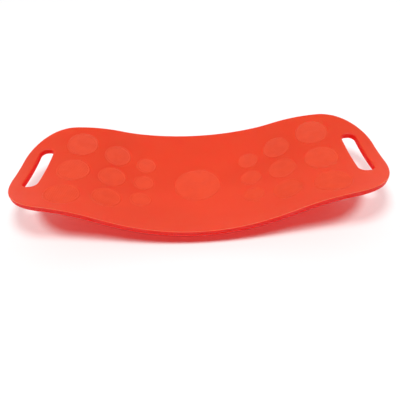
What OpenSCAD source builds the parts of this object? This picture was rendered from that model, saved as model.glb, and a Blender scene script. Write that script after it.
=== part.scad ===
// Balance board: one dished, upturned moulded deck with hand slots and inlaid foot grips.
// Millimetres, +Z up, +X along the board. The origin is the middle of the flat rest
// under the deck.

/* [Deck] */
// Length of the deck, end to end
deck_length = 670; // [640:5:700]
// Width of the deck at its middle
deck_width = 285; // [270:5:300]
// Thickness of the moulded wall
deck_wall = 10; // [8:0.5:12]
// Radius of the dish in the middle of the deck, along and across
dish_r = 433; // [420:1:450]
// Angle that the dish takes in from the middle towards each end
dish_angle = 23; // [22.5:0.5:23.5]
// Radius along the deck where the ends turn over
turnover_r = 334; // [310:1:360]
// Diameter of the flat rest under the middle
rest_d = 60; // [40:1:80]

/* [Outline] */
// Radius of the bow in the long sides
side_r = 1015; // [950:5:1100]
// Angle at which the sides narrow towards the ends
side_taper = 6.5; // [6:0.1:7]
// Radius of the four corners
corner_r = 95; // [85:1:105]

/* [Hand slots] */
// Length of a hand slot, across the deck
slot_length = 112; // [100:1:124]
// Width of a hand slot
slot_width = 27; // [24:1:30]
// Corner radius of a hand slot
slot_corner_r = 11.5; // [4:0.5:11.5]
// Width of the handle bar left between a slot and the end
bar_width = 26; // [22:0.5:30]

/* [Foot grips] */
// Diameter of the grip in the middle
centre_grip_d = 91; // [60:1:100]
// Diameter of the large grips
large_grip_d = 61; // [50:1:64]
// Distance of the large grips from the middle, along the deck
large_grip_x = 232; // [230:1:236]
// Spacing of the large grips, across the deck
large_grip_y = 74; // [68:1:76]
// Diameter of the medium grips
medium_grip_d = 53; // [40:1:54]
// Distance of the medium grips from the middle, along the deck
medium_grip_x = 163; // [160:1:166]
// Spacing of the medium grips, across the deck
medium_grip_y = 62; // [58:1:66]
// Diameter of the small grips
small_grip_d = 41; // [30:1:42]
// Distance of the small grips from the middle, along the deck
small_grip_x = 105; // [103:1:108]
// Spacing of the small grips, across the deck
small_grip_y = 50.5; // [46:0.5:54]
// Depth of the pocket under each grip
pocket_depth = 1.2; // [0.8:0.1:2]
// How far a grip stands proud of the deck
grip_rise = 0.3; // [0.1:0.1:0.5]
// Gap left for adhesive around and below each grip
bond_gap = 0.1; // [0.05:0.05:0.3]

/* [Colours] */
// Moulded plastic of the deck
deck_colour = "#ed4b33"; // [#ed4b33:Orange red, #2f6fb5:Blue, #3f9b52:Green]
// Soft plastic of the foot grips
grip_colour = "#f2664a"; // [#f2664a:Light orange red, #5b90c9:Light blue, #69b578:Light green]

/* [Hidden] */
$fn = 180;
half_length = deck_length / 2;
half_width = deck_width / 2;

// The flat rest takes this much off the lowest point of the underside.
under_r = dish_r + deck_wall;
rest_cut = under_r - sqrt(pow(under_r, 2) - pow(rest_d / 2, 2));

// The top of the deck is a sphere as far as dish_angle. From there the same dish section
// turns over about an axis across the deck, through past_angle, which is past the board's end.
dish_z = under_r - rest_cut;
turned_beyond = 20;
past_angle = dish_angle + turned_beyond;
turnover_x = (dish_r + turnover_r) * sin(dish_angle);

// One quarter of the outline: end of the side bow, end of the straight side, end of the corner.
// The straight side lies this far inside the arcs, so that it crosses them and doesn't only touch.
side_inset = 0.01;
side_x = side_r * sin(side_taper);
side_y = half_width - side_r * (1 - cos(side_taper));
corner_x = half_length - corner_r;
corner_y = side_y - (corner_x - side_x) * tan(side_taper) - corner_r / cos(side_taper);
side_normal = [sin(side_taper), cos(side_taper)];
QUARTER = [
    [side_x, side_y] - side_inset * side_normal,
    [corner_x, corner_y] + (corner_r - side_inset) * side_normal,
    [half_length, corner_y]
];

// Hand slots, and the heights that cuts start at and rise through to pass right through the deck
slot_x = half_length - bar_width - slot_width / 2;
through_low = -10;
through_height = 150;
punch_height = 4 * deck_wall;

// Segments of the two wide arcs of the side bow, which need more than other circles
bow_fn = 720;

// Sides, sizes and rows of the foot grips
SIDES = [["left", -1], ["right", 1]];
SIZES = [
    ["large", large_grip_d, large_grip_x, large_grip_y],
    ["medium", medium_grip_d, medium_grip_x, medium_grip_y],
    ["small", small_grip_d, small_grip_x, small_grip_y]
];
ROWS = [["back", 1], ["middle", 0], ["front", -1]];

// Every foot grip: node name, place along the deck, place across it, diameter
GRIPS = concat(
    [["centre_grip", 0, 0, centre_grip_d]],
    [for (side = SIDES, size = SIZES, row = ROWS)
        [str(side[0], "_", size[0], "_grip_", row[0]), side[1] * size[2], row[1] * size[3], size[1]]]
);

// The ring between two heights above the dish
module dish_ring(high, low) {
    difference() {
        circle(dish_r - low);
        circle(dish_r - high);
    }
}

// The layer between two heights above the top of the deck, where that is a sphere
module dish_layer(high, low) {
    translate([0, 0, dish_z]) rotate([90, 0, 0])
        rotate_extrude(angle = 2 * dish_angle, start = -90 - dish_angle)
            intersection() {
                dish_ring(high, low);
                translate([dish_r / 2, -half_width]) square([dish_r, deck_width]);
            }
}

// Puts its children on the axis of the +X turnover, with the end of the dish straight above
module at_turnover() {
    translate([0, 0, dish_z]) rotate([0, -dish_angle, 0])
        translate([0, 0, -dish_r - turnover_r]) children();
}

// The same layer where the +X end turns over
module turnover_layer(high, low) {
    at_turnover() rotate([90, 0, 0])
        rotate_extrude(angle = past_angle, start = 90 - past_angle)
            intersection() {
                translate([turnover_r + dish_r, 0]) dish_ring(high, low);
                translate([0, -half_width]) square([turnover_r + dish_r / 2, deck_width]);
            }
}

// One stretch of the layer: -1 and 1 are the ends and 0 is the dish between them
module layer_stretch(stretch, high, low) {
    if (stretch == 0)
        dish_layer(high, low);
    else
        rotate([0, 0, stretch < 0 ? 180 : 0]) turnover_layer(high, low);
}

// Puts its children on the top of the deck and square to it, for x of 0 or more
module on_half_deck(x, y) {
    across = asin(y / dish_r);
    if (x < dish_r * sin(dish_angle))
        translate([0, 0, dish_z]) rotate([0, -asin(x / dish_r), 0]) rotate([across, 0, 0])
            translate([0, 0, -dish_r]) children();
    else
        at_turnover() rotate([0, dish_angle - asin((turnover_x - x) / turnover_r), 0])
            translate([0, 0, turnover_r + dish_r]) rotate([across, 0, 0])
                translate([0, 0, -dish_r]) children();
}

// A round punch through the top of the deck, as wide as a grip and a gap around it
module grip_punch(grip, gap) {
    turn = grip[1] < 0 ? 180 : 0;
    side = grip[1] < 0 ? -1 : 1;
    rotate([0, 0, turn]) on_half_deck(side * grip[1], side * grip[2])
        cylinder(d = grip[3] + 2 * gap, h = punch_height, center = true);
}

// The bowed middle of the long sides
module side_bow() {
    intersection() {
        translate([0, half_width - side_r]) circle(side_r, $fn = bow_fn);
        translate([0, side_r - half_width]) circle(side_r, $fn = bow_fn);
        square([2 * side_x, deck_width], center = true);
    }
}

// The deck seen from above, without its slots
module outline() {
    half = concat([for (point = QUARTER) [point.x, -point.y]], [for (i = [2:-1:0]) QUARTER[i]]);
    polygon(concat(half, [for (point = half) -point]));
    side_bow();
    for (x = [-corner_x, corner_x], y = [-corner_y, corner_y]) translate([x, y]) circle(corner_r);
}

module hand_slot() {
    inner_x = slot_width / 2 - slot_corner_r;
    inner_y = slot_length / 2 - slot_corner_r;
    square([slot_width, 2 * inner_y], center = true);
    square([2 * inner_x, slot_length], center = true);
    for (x = [-inner_x, inner_x], y = [-inner_y, inner_y]) translate([x, y]) circle(slot_corner_r);
}

module deck() {
    color(deck_colour)
        for (stretch = [-1:1])
            difference() {
                intersection() {
                    layer_stretch(stretch, 0, -deck_wall);
                    linear_extrude(through_height) outline();
                }
                for (x = [-slot_x, slot_x])
                    translate([x, 0, through_low]) linear_extrude(through_height) hand_slot();
                for (grip = GRIPS)
                    intersection() {
                        layer_stretch(stretch, deck_wall, -pocket_depth);
                        grip_punch(grip, bond_gap);
                    }
            }
}

module foot_grip(grip) {
    color(grip_colour)
        for (stretch = [-1:1])
            intersection() {
                layer_stretch(stretch, grip_rise, bond_gap - pocket_depth);
                grip_punch(grip, 0);
            }
}

deck();
for (grip = GRIPS)
    foot_grip(grip);
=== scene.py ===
"""Balance board: a dished, upturned moulded deck with hand slots and nineteen inlaid foot grips.

Every length is in metres, in the frame of the CAD model: +X along the board, +Y across it, +Z up,
and the origin in the middle of the flat rest under the deck.
"""
import math

import bpy
import numpy as np
from mathutils import Matrix, Vector
from mathutils.geometry import area_tri, delaunay_2d_cdt


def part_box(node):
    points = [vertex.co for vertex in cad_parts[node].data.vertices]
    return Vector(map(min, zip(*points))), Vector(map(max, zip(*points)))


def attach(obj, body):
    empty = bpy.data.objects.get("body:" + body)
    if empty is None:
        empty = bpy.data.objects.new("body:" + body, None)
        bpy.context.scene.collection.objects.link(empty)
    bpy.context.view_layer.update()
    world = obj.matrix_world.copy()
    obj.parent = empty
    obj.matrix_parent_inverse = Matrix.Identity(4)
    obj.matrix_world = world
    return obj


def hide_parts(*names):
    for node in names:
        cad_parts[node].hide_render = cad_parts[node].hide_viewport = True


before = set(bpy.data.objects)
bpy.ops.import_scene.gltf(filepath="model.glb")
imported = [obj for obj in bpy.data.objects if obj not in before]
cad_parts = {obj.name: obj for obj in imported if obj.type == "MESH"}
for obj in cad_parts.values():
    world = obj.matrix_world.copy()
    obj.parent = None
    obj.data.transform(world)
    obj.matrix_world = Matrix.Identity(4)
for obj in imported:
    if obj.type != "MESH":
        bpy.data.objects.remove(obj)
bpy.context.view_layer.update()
DECK_LOW, DECK_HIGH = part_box("deck")
MM = 0.001

# ---------------------------------------------------------------- driving dimensions

# Deck, as in the frame: the wall, the dish, the turned-over ends and the flat rest below
HALF_LENGTH = (DECK_HIGH[0] - DECK_LOW[0]) / 2
HALF_WIDTH = (DECK_HIGH[1] - DECK_LOW[1]) / 2
WALL = 10 * MM
DISH_R = 433 * MM
DISH_ANGLE = math.radians(23)
TURNOVER_R = 334 * MM
REST_R = 30 * MM

# Outline seen from above
SIDE_R = 1015 * MM
SIDE_TAPER = math.radians(6.5)
CORNER_R = 95 * MM

# Hand slots
SLOT_LENGTH = 112 * MM
SLOT_WIDTH = 27 * MM
SLOT_CORNER_R = 11.5 * MM
BAR_WIDTH = 26 * MM

# Foot grips: how far they stand proud, how deep they sit, and the gap around them
GRIP_RISE = 0.3 * MM
GRIP_SINK = 1.1 * MM
POCKET_DEPTH = 1.2 * MM
BOND_GAP = 0.1 * MM

# Moulded details that the frame leaves plain
RIM_ROUND = 1.6 * MM
SLOT_ROUND = 2.2 * MM
UNDER_ROUND = 0.6 * MM
POCKET_ROUND = 0.25 * MM
GATE_R = 7 * MM
GATE_DEPTH = 0.7 * MM
BORDER_WIDTH = 2.8 * MM
BEVEL_WIDTH = 1.3 * MM
FIELD_DROP = 0.25 * MM
PIP_R = 0.85 * MM
PIP_TOP_R = 0.5 * MM
PIP_PITCH = 3.1 * MM

# Mesh spacing on the broad faces, along the edges, and round the grips
FACE_STEP = 4.5 * MM
EDGE_STEP = 3.0 * MM
RIM_STEP = 2.4 * MM

# ---------------------------------------------------------------- derived dimensions

UNDER_R = DISH_R + WALL
DISH_Z = math.sqrt(UNDER_R ** 2 - REST_R ** 2)
TURN_X = (DISH_R + TURNOVER_R) * math.sin(DISH_ANGLE)
TURN_Z = DISH_Z - (DISH_R + TURNOVER_R) * math.cos(DISH_ANGLE)
SIDE_X = SIDE_R * math.sin(SIDE_TAPER)
SIDE_Y = HALF_WIDTH - SIDE_R * (1 - math.cos(SIDE_TAPER))
CORNER_X = HALF_LENGTH - CORNER_R
CORNER_Y = SIDE_Y - (CORNER_X - SIDE_X) * math.tan(SIDE_TAPER) - CORNER_R / math.cos(SIDE_TAPER)
SLOT_X = HALF_LENGTH - BAR_WIDTH - SLOT_WIDTH / 2
SLOT_CENTRES = (-SLOT_X, SLOT_X)


# ---------------------------------------------------------------- the deck's surfaces

def height(x, y, depth=0.0):
    """Height of the surface that lies at this depth below the top of the deck, over plan points."""
    x = np.abs(np.asarray(x, float))
    section = np.sqrt((DISH_R + depth) ** 2 - np.asarray(y, float) ** 2)
    dish = DISH_Z - np.sqrt(np.maximum(section ** 2 - x ** 2, 0))
    reach = TURNOVER_R + DISH_R - section
    turned = TURN_Z + np.sqrt(np.maximum(reach ** 2 - (x - TURN_X) ** 2, 0))
    return np.where(x < section * math.sin(DISH_ANGLE), dish, turned)


def top_height(x, y):
    return height(x, y)


def under_height(x, y):
    """The underside, cut flat where the board rests."""
    return np.maximum(height(x, y, WALL), 0)


def depth_of(points):
    """How far below the top of the deck each point lies."""
    x, y, z = np.abs(points[:, 0]), points[:, 1], points[:, 2]
    in_dish = x * math.cos(DISH_ANGLE) < (DISH_Z - z) * math.sin(DISH_ANGLE)
    dish = np.sqrt(x ** 2 + y ** 2 + (z - DISH_Z) ** 2) - DISH_R
    reach = np.hypot(x - TURN_X, z - TURN_Z)
    turned = np.hypot(TURNOVER_R + DISH_R - reach, y) - DISH_R
    return np.where(in_dish, dish, turned)


# Step that slopes are measured over, and how often a laid point is corrected
SLOPE_STEP = 0.1 * MM
LAY_PASSES = 6


class Place:
    """A spot on top of the deck, square to it, that flat shapes are laid down on."""

    def __init__(self, x, y):
        step = SLOPE_STEP
        self.origin = np.array([x, y, float(height(x, y))])
        slope_x = float(height(x + step, y) - height(x - step, y)) / (2 * step)
        slope_y = float(height(x, y + step) - height(x, y - step)) / (2 * step)
        self.normal = unit([-slope_x, -slope_y, 1])
        self.along = unit(np.cross([0, 1, 0], self.normal))
        self.across = np.cross(self.normal, self.along)

    def lay(self, shape):
        """Turns rows of (along, across, depth below the deck's top) into points of the frame."""
        shape = np.asarray(shape, float)
        flat = self.origin + shape[:, :1] * self.along + shape[:, 1:2] * self.across
        lift = np.zeros(len(shape))
        for _ in range(LAY_PASSES):
            lift += depth_of(flat + lift[:, None] * self.normal) - shape[:, 2]
        return flat + lift[:, None] * self.normal

    def flatten(self, x, y):
        """Plan points seen from straight above the spot, as (along, across)."""
        offset = np.stack([x, y, height(x, y)], axis=-1) - self.origin
        return offset @ self.along, offset @ self.across


def unit(vector):
    vector = np.asarray(vector, float)
    return vector / np.linalg.norm(vector)


# ---------------------------------------------------------------- plan outlines

def arc(centre, radius, start, end, step):
    """Points and outward normals along an arc, without its last point."""
    count = max(2, math.ceil(abs(end - start) * radius / step))
    angles = start + (end - start) * np.arange(count) / count
    normals = np.stack([np.cos(angles), np.sin(angles)], axis=1)
    return np.asarray(centre) + radius * normals, normals


def straight(start, end, normal, step):
    """Points and outward normals along a straight, without its last point."""
    start, end = np.asarray(start, float), np.asarray(end, float)
    count = max(1, math.ceil(np.linalg.norm(end - start) / step))
    share = np.arange(count)[:, None] / count
    return start + (end - start) * share, np.tile(normal, (count, 1))


def join(pieces):
    points, normals = zip(*pieces)
    return np.concatenate(points), np.concatenate(normals)


def turned_half(pieces):
    """A loop of these pieces followed by the same pieces turned half way round."""
    return join(pieces + [(-points, -normals) for points, normals in pieces])


def deck_outline():
    """The deck's edge, anticlockwise from the middle of the +X end's front half."""
    quarter = math.pi / 2
    up = quarter - SIDE_TAPER
    side = np.array([math.cos(up), math.sin(up)])
    corner = np.array([CORNER_X, CORNER_Y])
    bow_end = np.array([SIDE_X, SIDE_Y])
    flip = np.array([-1, 1])
    return turned_half([
        straight([HALF_LENGTH, -CORNER_Y], [HALF_LENGTH, CORNER_Y], [1, 0], EDGE_STEP),
        arc(corner, CORNER_R, 0, up, EDGE_STEP),
        straight(corner + CORNER_R * side, bow_end, side, EDGE_STEP),
        arc([0, HALF_WIDTH - SIDE_R], SIDE_R, up, math.pi - up, EDGE_STEP),
        straight(bow_end * flip, (corner + CORNER_R * side) * flip, side * flip, EDGE_STEP),
        arc(corner * flip, CORNER_R, math.pi - up, math.pi, EDGE_STEP),
    ])


def slot_outline(centre_x):
    """A hand slot's edge, with normals that point into the plastic around it."""
    x, y = SLOT_WIDTH / 2 - SLOT_CORNER_R, SLOT_LENGTH / 2 - SLOT_CORNER_R
    quarter = math.pi / 2
    points, normals = turned_half([
        straight([SLOT_WIDTH / 2, -y], [SLOT_WIDTH / 2, y], [1, 0], EDGE_STEP),
        arc([x, y], SLOT_CORNER_R, 0, quarter, RIM_STEP),
        straight([x, SLOT_LENGTH / 2], [-x, SLOT_LENGTH / 2], [0, 1], EDGE_STEP),
        arc([-x, y], SLOT_CORNER_R, quarter, 2 * quarter, RIM_STEP),
    ])
    return points + [centre_x, 0], normals


def slot_distance(x, y):
    """Distance from the nearest hand slot's edge, negative inside it."""
    across = np.abs(y) - (SLOT_LENGTH / 2 - SLOT_CORNER_R)
    along = np.abs(np.abs(x) - SLOT_X) - (SLOT_WIDTH / 2 - SLOT_CORNER_R)
    outside = np.hypot(np.maximum(along, 0), np.maximum(across, 0))
    return outside + np.minimum(np.maximum(along, across), 0) - SLOT_CORNER_R


def inside_distance(x, y):
    """Distance from the deck's edge to points inside it, negative outside."""
    x, y = np.abs(x), np.abs(y)
    bow = SIDE_R - np.hypot(x, y + SIDE_R - HALF_WIDTH)
    taper = (SIDE_X - x) * math.sin(SIDE_TAPER) + (SIDE_Y - y) * math.cos(SIDE_TAPER)
    side = np.where(x < SIDE_X, bow, taper)
    corner = CORNER_R - np.hypot(x - CORNER_X, y - CORNER_Y)
    beyond = (x > CORNER_X) & (y > CORNER_Y)
    past_side = (x - CORNER_X) * math.cos(SIDE_TAPER) - (y - CORNER_Y) * math.sin(SIDE_TAPER) < 0
    return np.where(beyond & ~past_side, corner, np.minimum(side, HALF_LENGTH - x))


# ---------------------------------------------------------------- mesh building

# Triangles smaller than this, in square metres, are rounding errors; points this near are one
SLIVER_AREA = 1e-10
SAME_POINT = 1e-9


def link(thing):
    """Puts an object into the scene and returns it."""
    bpy.context.scene.collection.objects.link(thing)
    return thing


class Builder:
    """Collects points and faces of one closed mesh."""

    def __init__(self):
        self.points, self.faces = [], []

    def add(self, points):
        """Adds points and returns their numbers."""
        first = len(self.points)
        self.points.extend(map(tuple, points))
        return np.arange(first, first + len(points))

    def band(self, lower, upper):
        """Quads between two loops of as many points, facing out where both run anticlockwise."""
        for a, b, c, d in zip(lower, np.roll(lower, -1), np.roll(upper, -1), upper):
            self.faces.append((a, b, c, d))

    def bands(self, loops):
        """Quads between each loop and the next, from the lowest loop to the highest."""
        for lower, upper in zip(loops, loops[1:]):
            self.band(lower, upper)

    def fan(self, loop, centre):
        """Triangles from a loop to one point, facing up where the loop runs anticlockwise."""
        for a, b in zip(loop, np.roll(loop, -1)):
            self.faces.append((a, b, centre))

    def sheet(self, outer, holes, spots, lift, upward):
        """Triangles over plan spots between an outer loop and holes that are already in the mesh."""
        loops = [outer, *holes]
        numbers = np.concatenate([*loops, self.add(lifted(spots, lift(*spots.T)))])
        owner = np.repeat([*range(len(loops)), 0], [*map(len, loops), len(spots)])
        plan = [Vector(self.points[i][:2]) for i in numbers]
        edges, first = [], 0
        for loop in loops:
            edges += [(first + i, first + (i + 1) % len(loop)) for i in range(len(loop))]
            first += len(loop)
        triangles, origins = delaunay_2d_cdt(plan, edges, [], 0, SAME_POINT, True)[2:4]
        for triangle in triangles:
            corners = [origins[i][0] for i in triangle]
            hole = owner[corners[0]]
            in_hole = hole and all(owner[i] == hole for i in corners)
            if in_hole or area_tri(*(plan[i].to_3d() for i in corners)) < SLIVER_AREA:
                continue
            face = tuple(numbers[i] for i in corners)
            self.faces.append(face if upward else face[::-1])

    def finish(self, name, material):
        mesh = bpy.data.meshes.new(name)
        mesh.from_pydata(self.points, [], [tuple(int(i) for i in face) for face in self.faces])
        mesh.polygons.foreach_set("use_smooth", [True] * len(mesh.polygons))
        mesh.materials.append(material)
        mesh.validate()
        return link(bpy.data.objects.new(name, mesh))


# ---------------------------------------------------------------- deck

ROUND_STEPS = 5
POCKET_RINGS = 4

# Clear strip between an edge's rounding and the first free points of a broad face
SHEET_MARGIN = 2.2 * MM


def conic(start, corner, end):
    """Rows of a quarter round from start to end, tangent to both sides of the corner."""
    rows = []
    for share in np.linspace(0, 1, ROUND_STEPS + 1):
        a, b, c = (1 - share) ** 2, math.sqrt(2) * share * (1 - share), share ** 2
        rows.append((a * start + b * corner + c * end) / (a + b + c))
    return rows


def lifted(plan, heights):
    return np.column_stack([plan, heights])


def edge_rows(edge, into, rounding):
    """Rows of a moulded edge: off the top face, down the wall, and under."""
    inset = edge + into * rounding
    under_inset = edge + into * UNDER_ROUND
    crest = lifted(edge, top_height(*edge.T))
    foot = lifted(edge, under_height(*edge.T))
    over = conic(lifted(inset, top_height(*inset.T)), crest, crest - [0, 0, rounding])
    under = conic(foot + [0, 0, UNDER_ROUND], foot, lifted(under_inset, under_height(*under_inset.T)))
    return over + [(crest + foot) / 2] + under


def add_edge(build, edge, into, rounding):
    """Adds a moulded edge and returns its loops on the top face and on the underside."""
    loops = [build.add(row) for row in edge_rows(edge, into, rounding)]
    build.bands(loops[::-1])
    return loops[0], loops[-1]


def ring(radius, depth, count):
    """A circle of (along, across, depth) points."""
    turn = 2 * math.pi * np.arange(count) / count
    return np.column_stack([radius * np.cos(turn), radius * np.sin(turn), np.full(count, depth)])


def ring_count(radius):
    """How many points go round a circle, in whole eighths of it."""
    return 8 * math.ceil(2 * math.pi * radius / RIM_STEP / 8)


def add_pocket(build, place, radius):
    """Sinks a grip's pocket into the top face and returns the loop round its mouth."""
    count, wall = ring_count(radius), radius + BOND_GAP
    mouth = ring(wall + POCKET_ROUND, 0, count)
    rows = conic(mouth, ring(wall, 0, count), ring(wall, POCKET_ROUND, count))
    shares = np.linspace(1, 0, POCKET_RINGS, False)
    rows += [ring(wall * share, POCKET_DEPTH, count) for share in shares]
    loops = [build.add(place.lay(row)) for row in rows]
    build.bands(loops)
    build.fan(loops[-1], build.add(place.lay([[0, 0, POCKET_DEPTH]]))[0])
    return loops[0]


def add_rest(build):
    """The flat rest, with the shallow dimple that the moulding gate leaves in its middle."""
    count = ring_count(REST_R)
    rows = [
        (REST_R, 0), (GATE_R + GATE_DEPTH, 0),
        (GATE_R, GATE_DEPTH / 2), (GATE_R - GATE_DEPTH, GATE_DEPTH),
    ]
    loops = [build.add(ring(radius, z, count)) for radius, z in rows]
    build.bands(loops[::-1])
    centre = build.add([(0, 0, GATE_DEPTH)])[0]
    build.fan(loops[-1][::-1], centre)
    return loops[0]


def face_spots(clear_of):
    """An even triangular grid of plan points on the deck's face, clear of its edges and pockets."""
    row_step = FACE_STEP * math.sqrt(3) / 2
    rows, columns = math.ceil(HALF_WIDTH / row_step), math.ceil(HALF_LENGTH / FACE_STEP)
    spots = np.array([
        ((column + row % 2 / 2) * FACE_STEP, row * row_step)
        for row in range(-rows, rows + 1) for column in range(-columns - 1, columns + 1)
    ])
    x, y = spots.T
    clear = inside_distance(x, y) > RIM_ROUND + SHEET_MARGIN
    clear &= slot_distance(x, y) > SLOT_ROUND + SHEET_MARGIN
    for place, radius in clear_of:
        clear &= np.hypot(*place.flatten(x, y)) > radius + SHEET_MARGIN
    return spots[clear]


def make_deck(grips, material):
    build = Builder()
    edge, outward = deck_outline()
    top_outer, under_outer = add_edge(build, edge, -outward, RIM_ROUND)
    top_holes, under_holes = [], []
    for centre_x in SLOT_CENTRES:
        edge, into = slot_outline(centre_x)
        top, under = add_edge(build, edge[::-1], into[::-1], SLOT_ROUND)
        top_holes.append(top)
        under_holes.append(under)
    top_holes += [add_pocket(build, place, radius) for place, radius in grips]
    under_holes.append(add_rest(build))
    flat_rest = Place(0, 0), REST_R
    build.sheet(top_outer, top_holes, face_spots(grips), top_height, True)
    build.sheet(under_outer, under_holes, face_spots([flat_rest]), under_height, False)
    return build.finish("balance_deck", material)


# ---------------------------------------------------------------- foot grips

PIP_SIDES = 8
PIP_DOME = 0.05 * MM
PIP_CLEARANCE = 0.5 * MM
UNDER_RINGS = 4

# The border slopes down to the field across twice BORDER_SOFT. Half way it has dropped by BORDER_ROUND
BORDER_SOFT = 0.25 * MM
BORDER_ROUND = 0.3 * BORDER_SOFT

# The bevel reaches this share of the grip's rise half way along it
BEVEL_BULGE = 0.75

# How finely and how often a grip is fitted into its box
FIT_POINTS = 96
FIT_PASSES = 5


def pip_centres(reach):
    """Centres of a hexagonal lattice of pips that keep inside this radius."""
    row_step = PIP_PITCH * math.sqrt(3) / 2
    rows = math.ceil(reach / row_step)
    columns = math.ceil(reach / PIP_PITCH) + 1
    centres = np.array([
        ((column + row % 2 / 2) * PIP_PITCH, row * row_step)
        for row in range(-rows, rows + 1) for column in range(-columns, columns + 1)
    ])
    return centres[np.hypot(*centres.T) < reach]


def add_pip(build, centre, floor):
    """Adds one domed pip and returns the loop round its foot."""
    offset = np.array([*centre, 0])
    shoulder = PIP_DOME - GRIP_RISE
    foot = build.add(ring(PIP_R, floor, PIP_SIDES) + offset)
    top = build.add(ring(PIP_TOP_R, shoulder, PIP_SIDES) + offset)
    build.band(foot, top)
    build.fan(top, build.add([[*centre, -GRIP_RISE]])[0])
    return foot


def grip_shape(radius):
    """A grip laid flat: a thin disc with a raised smooth border round a field of pips."""
    build = Builder()
    count, floor = ring_count(radius), FIELD_DROP - GRIP_RISE
    inner = radius - BORDER_WIDTH
    field = inner - BORDER_SOFT
    sections = [(radius * share, GRIP_SINK) for share in np.linspace(0, 1, UNDER_RINGS + 1)[1:]]
    sections += [
        (radius, 0), (radius - BEVEL_WIDTH / 2, -BEVEL_BULGE * GRIP_RISE),
        (radius - BEVEL_WIDTH, -GRIP_RISE), (inner + BORDER_SOFT, -GRIP_RISE),
        (inner, BORDER_ROUND - GRIP_RISE), (field, floor),
    ]
    loops = [build.add(ring(r, depth, count)) for r, depth in sections]
    build.bands(loops)
    build.fan(loops[0][::-1], build.add([[0, 0, GRIP_SINK]])[0])
    feet = [add_pip(build, centre, floor) for centre in pip_centres(field - PIP_R - PIP_CLEARANCE)]
    # The field has no free points between its pips, so nothing is lifted
    build.sheet(loops[-1], feet, np.empty((0, 2)), top_height, True)
    return build


def make_grip(node, place, shape, material):
    build = Builder()
    build.points = [tuple(point) for point in place.lay(shape.points)]
    build.faces = shape.faces
    return build.finish(node + "_pad", material)


def grip_place(low, high):
    """The place and radius at which a grip laid on the deck fills this box."""
    low, high = np.array(low), np.array(high)
    x, y = (low + high)[:2] / 2
    radius = (high - low)[1] / 2
    for _ in range(FIT_PASSES):
        place = Place(x, y)
        rim = place.lay([*ring(radius, -GRIP_RISE, FIT_POINTS), *ring(radius, GRIP_SINK, FIT_POINTS)])
        x, y = [x, y] + (low + high - rim.min(0) - rim.max(0))[:2] / 2
        radius *= (high - low)[1] / np.ptp(rim[:, 1])
    return place, round(radius, 4)


def grip_places():
    """Node name, place and radius of every foot grip, from the boxes of the frame's own grips."""
    nodes = [node for node in sorted(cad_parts) if "grip" in node]
    return [(node, *grip_place(*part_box(node))) for node in nodes]


# ---------------------------------------------------------------- materials

class Nodes:
    """One material's node tree, built in short calls."""

    def __init__(self, name, **constants):
        self.material = bpy.data.materials.new(name)
        self.material.use_nodes = True
        self.tree = self.material.node_tree
        self.shader = self.tree.nodes["Principled BSDF"]
        for socket, value in constants.items():
            self.shader.inputs[socket.replace("_", " ")].default_value = value
        self.place = self.add("ShaderNodeTexCoord").outputs["Object"]
        self.geometry = self.add("ShaderNodeNewGeometry")

    def add(self, kind, inputs=None, **settings):
        node = self.tree.nodes.new(kind)
        for setting, value in settings.items():
            setattr(node, setting, value)
        for socket, value in (inputs or {}).items():
            self.feed(node.inputs[socket], value)
        return node

    def feed(self, socket, value):
        if isinstance(value, bpy.types.NodeSocket):
            self.tree.links.new(value, socket)
        else:
            socket.default_value = value

    def math(self, operation, *values):
        inputs = dict(enumerate(values))
        return self.add("ShaderNodeMath", inputs, operation=operation).outputs[0]

    def product(self, first, *others):
        for other in others:
            first = self.math("MULTIPLY", first, other)
        return first

    def axis(self, vector, number):
        return self.add("ShaderNodeSeparateXYZ", {0: vector}).outputs[number]

    def noise(self, size, detail, stretch=(1, 1, 1)):
        """Noise whose grains are about this size, drawn out along each axis by its stretch."""
        scale = [1 / part for part in stretch]
        scaled = self.add("ShaderNodeMapping", {"Vector": self.place, "Scale": scale})
        inputs = {"Vector": scaled.outputs[0], "Scale": 1 / size, "Detail": detail}
        return self.add("ShaderNodeTexNoise", inputs).outputs[0]

    def between(self, value, low, high, to_low=0.0, to_high=1.0):
        """Eases a value from one range into another, and clamps it there."""
        inputs = {0: value, 1: low, 2: high, 3: to_low, 4: to_high}
        return self.add("ShaderNodeMapRange", inputs, interpolation_type="SMOOTHSTEP").outputs[0]

    def blend(self, factor, first, second):
        inputs = {0: factor, 6: first, 7: second}
        return self.add("ShaderNodeMix", inputs, data_type="RGBA").outputs[2]

    def bump(self, height, distance):
        return self.add("ShaderNodeBump", {"Height": height, "Distance": distance}).outputs[0]

    def surface(self, **links):
        for socket, value in links.items():
            self.feed(self.shader.inputs[socket.replace("_", " ")], value)
        return self.material

    def let_light_through(self, tint):
        """Lamps shine through the thin plastic, dimmed and tinted, into the shadow below."""
        ray = self.add("ShaderNodeLightPath").outputs["Is Shadow Ray"]
        clear = self.add("ShaderNodeBsdfTransparent", {"Color": tint}).outputs[0]
        pick = self.add("ShaderNodeMixShader", {0: ray, 1: self.shader.outputs[0], 2: clear})
        self.tree.links.new(pick.outputs[0], self.tree.nodes["Material Output"].inputs["Surface"])


def linear(red, green, blue):
    """A display (sRGB) colour of 0 to 255 as the linear colour that shaders take."""
    return tuple((part / 255 / 12.92 if part < 11 else ((part / 255 + 0.055) / 1.055) ** 2.4)
                 for part in (red, green, blue)) + (1,)


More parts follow.
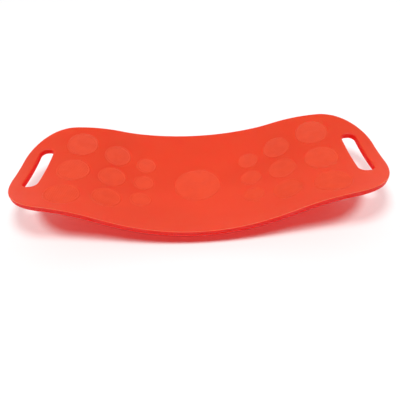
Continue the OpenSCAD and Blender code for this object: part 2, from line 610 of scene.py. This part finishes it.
# A colour of three parts is a display colour, and one of four parts is linear. A pair is a range:
# what a noise, a slope or a place runs through, or the two ends of a roughness. A share is how much
# of a colour or roughness is mixed in.
GLOW_DEPTH = 8 * MM
GLOW_SHARE = (1.0, 0.12, 0.06)
DECK_TINT = (0.57, 0.11, 0.13, 1)
DECK_GLOSS = 0.3
DECK_DARKER = (227, 64, 26)
DECK_LIGHTER = (231, 67, 29)
DECK_ROUGH = (0.3, 0.38)
CLOUD_SIZE = 90 * MM
CLOUD_STRETCH = (2.5, 1, 1)
CLOUD_RANGE = (0.35, 0.65)
SMEAR_SIZE = 25 * MM
SMEAR_RANGE = (0.3, 0.7)
GRAIN_SIZE = 0.6 * MM
GRAIN_DEPTH = 0.01 * MM

# Painted glow: the wall round the rim and the slots, told by how upright it stands, is painted a
# brighter, deeper red that stands in for light glowing through the plastic's edge, and is made rougher
WALL_GLOW_COLOUR = (255, 46, 38)
WALL_RANGE = (0.3, 0.75)
WALL_ROUGH_SHARE = 0.4

# Painted highlight: a pale line on the upper rounding of the near and far rim stands in for the lamps'
# glint there, told by its slope and its place across the board
CREST_HIGHLIGHT_COLOUR = (255, 185, 145)
CREST_HIGHLIGHT_SHARE = 0.65
CREST_FROM = (0.45, 0.6)
CREST_TO = (0.88, 0.8)
CREST_SPREAD = (65 * MM, 90 * MM)

# Hairline scratches along Y, in worn patches
SCRATCH_COLOUR = (248, 140, 110)
SCRATCH_SHARE = 0.12
STREAK_SIZE = 0.5 * MM
STREAK_STRETCH = (60, 1, 60)
STREAK_RANGE = (0.66, 0.78)
WORN_SIZE = 35 * MM
WORN_RANGE = (0.5, 0.7)

# Scuffs on what faces down and lies low
SCUFF_COLOUR = (222, 150, 130)
SCUFF_SHARE = 0.35
SCUFF_SIZE = 6 * MM
SCUFF_RANGE = (0.45, 0.62)
FACING_DOWN = (-0.8, -0.5)
LOW_DOWN = (1 * MM, 14 * MM)
MARK_ROUGH_SHARE = 0.15

GRIP_TINT = (0.95, 0.3, 0.3, 1)
GRIP_GLOSS = 0.4
GRIP_DARKER = (228, 65, 27)
GRIP_LIGHTER = (232, 69, 30)
GRIP_ROUGH = (0.55, 0.66)
GRIP_CLOUD_SIZE = 18 * MM
GRIP_SMEAR_SIZE = 12 * MM
GRIP_GRAIN_SIZE = 0.35 * MM
GRIP_GRAIN_DEPTH = 0.02 * MM

FLOOR_TONES = ((0.95, 0.95, 0.95, 1), (0.97, 0.97, 0.97, 1))
FLOOR_ROUGHNESS = 0.5
FLOOR_GLOSS = 0.2
FLOOR_CLOUD_SIZE = 400 * MM


# How many finer levels are added to a noise
PLAIN, MIDDLING, BUSY, BUSIEST = 2, 3, 4, 5


def painted_crest_highlight(nodes, normal_z):
    """How much pale colour is painted on the upper rounding of the near and far rim, a painted
    highlight standing in for the lamps' glint.
    """
    across = nodes.math("ABSOLUTE", nodes.axis(nodes.place, 1))
    return nodes.product(
        nodes.between(normal_z, *CREST_FROM), nodes.between(normal_z, *CREST_TO),
        nodes.between(across, *CREST_SPREAD), CREST_HIGHLIGHT_SHARE,
    )


def scratch_mask(nodes):
    streak = nodes.between(nodes.noise(STREAK_SIZE, PLAIN, STREAK_STRETCH), *STREAK_RANGE)
    worn = nodes.between(nodes.noise(WORN_SIZE, BUSY), *WORN_RANGE)
    return nodes.product(streak, worn)


def scuff_mask(nodes, normal_z):
    facing_down = nodes.between(normal_z, *FACING_DOWN, 1, 0)
    low = nodes.between(nodes.axis(nodes.place, 2), *LOW_DOWN, 1, 0)
    patches = nodes.between(nodes.noise(SCUFF_SIZE, BUSIEST), *SCUFF_RANGE)
    return nodes.product(facing_down, low, patches)


def deck_plastic():
    """Satin moulded plastic: faint flow clouds, a fine grain and hairline scratches, with a painted
    highlight along the rim's crest and a painted glow on its upright wall.
    """
    nodes = Nodes(
        "deck_plastic", Specular_IOR_Level=DECK_GLOSS, Subsurface_Weight=1.0,
        Subsurface_Radius=GLOW_SHARE, Subsurface_Scale=GLOW_DEPTH,
    )
    normal_z = nodes.axis(nodes.geometry.outputs["Normal"], 2)
    # Mask of the upright wall, which gets the painted glow and more roughness
    wall = nodes.between(nodes.math("ABSOLUTE", normal_z), *WALL_RANGE, 1, 0)
    crest = painted_crest_highlight(nodes, normal_z)
    scratches = scratch_mask(nodes)
    scuffs = scuff_mask(nodes, normal_z)

    clouds = nodes.between(nodes.noise(CLOUD_SIZE, PLAIN, CLOUD_STRETCH), *CLOUD_RANGE)
    colour = nodes.blend(clouds, linear(*DECK_DARKER), linear(*DECK_LIGHTER))
    # Painted glow on the upright wall
    colour = nodes.blend(wall, colour, linear(*WALL_GLOW_COLOUR))
    # Painted highlight along the crest of the near and far rim
    colour = nodes.blend(crest, colour, linear(*CREST_HIGHLIGHT_COLOUR))
    colour = nodes.blend(nodes.product(scratches, SCRATCH_SHARE), colour, linear(*SCRATCH_COLOUR))
    colour = nodes.blend(nodes.product(scuffs, SCUFF_SHARE), colour, linear(*SCUFF_COLOUR))

    roughness = nodes.between(nodes.noise(SMEAR_SIZE, MIDDLING), *SMEAR_RANGE, *DECK_ROUGH)
    marks = nodes.product(nodes.math("ADD", scuffs, scratches), MARK_ROUGH_SHARE)
    marks = nodes.math("ADD", marks, nodes.product(wall, WALL_ROUGH_SHARE))
    roughness = nodes.math("ADD", roughness, marks)
    grain = nodes.bump(nodes.noise(GRAIN_SIZE, PLAIN), GRAIN_DEPTH)
    nodes.let_light_through(DECK_TINT)
    return nodes.surface(Base_Color=colour, Roughness=roughness, Normal=grain)


def grip_rubber():
    """Matte soft plastic of the inlaid grips, a shade lighter than the deck."""
    nodes = Nodes("grip_rubber", Specular_IOR_Level=GRIP_GLOSS)
    clouds = nodes.between(nodes.noise(GRIP_CLOUD_SIZE, MIDDLING), *CLOUD_RANGE)
    colour = nodes.blend(clouds, linear(*GRIP_DARKER), linear(*GRIP_LIGHTER))
    roughness = nodes.between(nodes.noise(GRIP_SMEAR_SIZE, MIDDLING), *SMEAR_RANGE, *GRIP_ROUGH)
    grain = nodes.bump(nodes.noise(GRIP_GRAIN_SIZE, MIDDLING), GRIP_GRAIN_DEPTH)
    nodes.let_light_through(GRIP_TINT)
    return nodes.surface(Base_Color=colour, Roughness=roughness, Normal=grain)


def floor_finish():
    """Smooth white studio table."""
    nodes = Nodes("studio_floor", Roughness=FLOOR_ROUGHNESS, Specular_IOR_Level=FLOOR_GLOSS)
    clouds = nodes.noise(FLOOR_CLOUD_SIZE, PLAIN)
    return nodes.surface(Base_Color=nodes.blend(clouds, *FLOOR_TONES))


# ---------------------------------------------------------------- studio

CAMERA_AZIMUTH = math.radians(2.52)
CAMERA_ELEVATION = math.radians(43.4)
CAMERA_ROLL = math.radians(-4.44)
CAMERA_DISTANCE = 659.4 * MM
CAMERA_AIM = Vector((3.5, -20.3, -12.6)) * MM
CAMERA_LENS = 29.95

FLOOR_HALF = 6.0
LAMP_LEAN = math.radians(21)
LAMP_FRONT = math.radians(8)
LAMP_SPREAD = math.radians(17)
LAMP_POWER = 1.5
ROOM_FRONT = 0.04
ROOM_BACK = 0.55
ROOM_FADE = (-0.3, 0.7)
ROOM_SEEN = 1.0


def make_camera():
    """Looks down at the board from its front, a little from the right."""
    camera = link(bpy.data.objects.new("camera", bpy.data.cameras.new("camera")))
    camera.data.lens = CAMERA_LENS
    turn = (Matrix.Rotation(CAMERA_AZIMUTH, 4, "Z")
            @ Matrix.Rotation(math.pi / 2 - CAMERA_ELEVATION, 4, "X")
            @ Matrix.Rotation(CAMERA_ROLL, 4, "Z"))
    back = turn @ Vector((0, 0, 1))
    camera.matrix_world = Matrix.Translation(CAMERA_AIM + CAMERA_DISTANCE * back) @ turn
    bpy.context.scene.camera = camera


def make_lamps():
    """Two soft lamps overhead, left and right, that throw the two overlapping shadows."""
    for side in (-1, 1):
        data = bpy.data.lights.new("lamp", "SUN")
        data.angle, data.energy = LAMP_SPREAD, LAMP_POWER
        lamp = link(bpy.data.objects.new("lamp", data))
        lamp.location = (side * math.tan(LAMP_LEAN), -math.tan(LAMP_FRONT), 1)
        lamp.rotation_euler = lamp.location.to_track_quat("Z", "Y").to_euler()


def make_room():
    """White to the eye all round, but it lights the board from behind far more than from the front."""
    world = bpy.data.worlds.new("room")
    world.use_nodes = True
    tree = world.node_tree
    add = tree.nodes.new
    place, axes = add("ShaderNodeTexCoord"), add("ShaderNodeSeparateXYZ")
    fall, ray, pick = add("ShaderNodeMapRange"), add("ShaderNodeLightPath"), add("ShaderNodeMix")
    ends = "From Min", "From Max", "To Min", "To Max"
    for end, value in zip(ends, (*ROOM_FADE, ROOM_FRONT, ROOM_BACK)):
        fall.inputs[end].default_value = value
    pick.inputs[3].default_value = ROOM_SEEN
    tree.links.new(place.outputs["Generated"], axes.inputs[0])
    tree.links.new(axes.outputs["Y"], fall.inputs[0])
    tree.links.new(ray.outputs["Is Camera Ray"], pick.inputs[0])
    tree.links.new(fall.outputs[0], pick.inputs[2])
    tree.links.new(pick.outputs[0], tree.nodes["Background"].inputs["Strength"])
    tree.nodes["Background"].inputs["Color"].default_value = (1, 1, 1, 1)
    bpy.context.scene.world = world
    bpy.context.scene.view_settings.view_transform = "Standard"


def make_floor():
    mesh = bpy.data.meshes.new("floor")
    corners = [(x * FLOOR_HALF, y * FLOOR_HALF, 0) for x, y in ((-1, -1), (1, -1), (1, 1), (-1, 1))]
    mesh.from_pydata(corners, [], [(0, 1, 2, 3)])
    mesh.materials.append(floor_finish())
    link(bpy.data.objects.new("floor", mesh))


# ---------------------------------------------------------------- assembly

def assemble():
    """Builds every piece, and says what carries it and what it replaces."""
    grips = grip_places()
    deck = make_deck([(place, radius) for _, place, radius in grips], deck_plastic())
    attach(deck, "root")
    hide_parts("deck")
    rubber, shapes = grip_rubber(), {}
    for node, place, radius in grips:
        if radius not in shapes:
            shapes[radius] = grip_shape(radius)
        pad = make_grip(node, place, shapes[radius], rubber)
        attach(pad, "root")
        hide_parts(node)


make_camera()
make_lamps()
make_room()
make_floor()
assemble()
